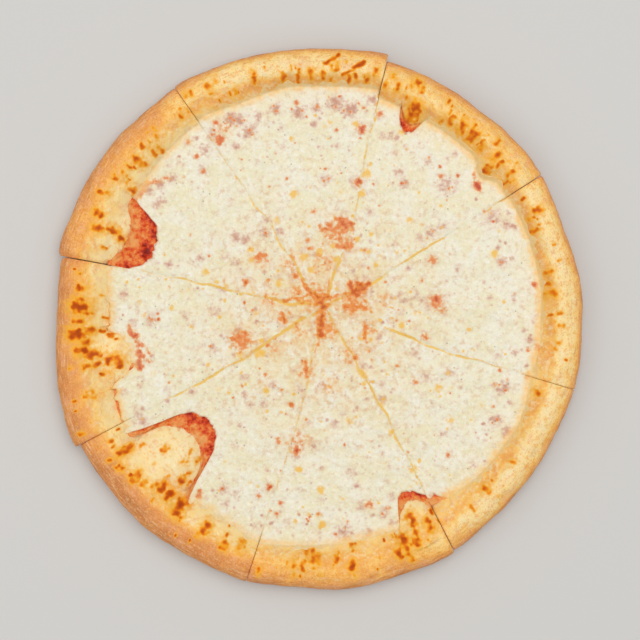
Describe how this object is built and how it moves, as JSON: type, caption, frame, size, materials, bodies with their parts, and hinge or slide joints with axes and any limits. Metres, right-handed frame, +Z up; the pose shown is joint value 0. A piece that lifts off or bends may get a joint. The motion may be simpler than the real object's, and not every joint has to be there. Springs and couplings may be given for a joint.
{
  "type": "pizza",
  "caption": "Round cheese pizza, cut into wedges that still lie together, with a puffed browned crust rim, tomato sauce and melted cheese.",
  "frame": {"origin": "middle of the pizza's own box, on the plane of its flat underside", "axes": "+Z up, out of the cheese; +Y towards the far side of the pizza as seen from above, with +X to the right"},
  "size_m": [0.3492, 0.3584, 0.0251],
  "materials": {
    "crust": "baked bread crust, golden to tan, floury and matt outside, with a soft oily sheen inside",
    "sauce": "cooked tomato sauce, moist and lumpy",
    "cheese": "melted mozzarella, soft sheen, slightly translucent, with orange oil spots"
  },
  "bodies": {
    "root": {"slice_1_crust": "crust", "slice_2_crust": "crust", "slice_3_crust": "crust", "slice_4_crust": "crust", "slice_5_crust": "crust", "slice_6_crust": "crust", "slice_7_crust": "crust", "slice_8_crust": "crust", "slice_1_sauce": "sauce", "slice_2_sauce": "sauce", "slice_3_sauce": "sauce", "slice_4_sauce": "sauce", "slice_5_sauce": "sauce", "slice_6_sauce": "sauce", "slice_7_sauce": "sauce", "slice_8_sauce": "sauce", "slice_1_cheese": "cheese", "slice_2_cheese": "cheese", "slice_3_cheese": "cheese", "slice_4_cheese": "cheese", "slice_5_cheese": "cheese", "slice_6_cheese": "cheese", "slice_7_cheese": "cheese", "slice_8_cheese": "cheese"}
  },
  "joints": []
}
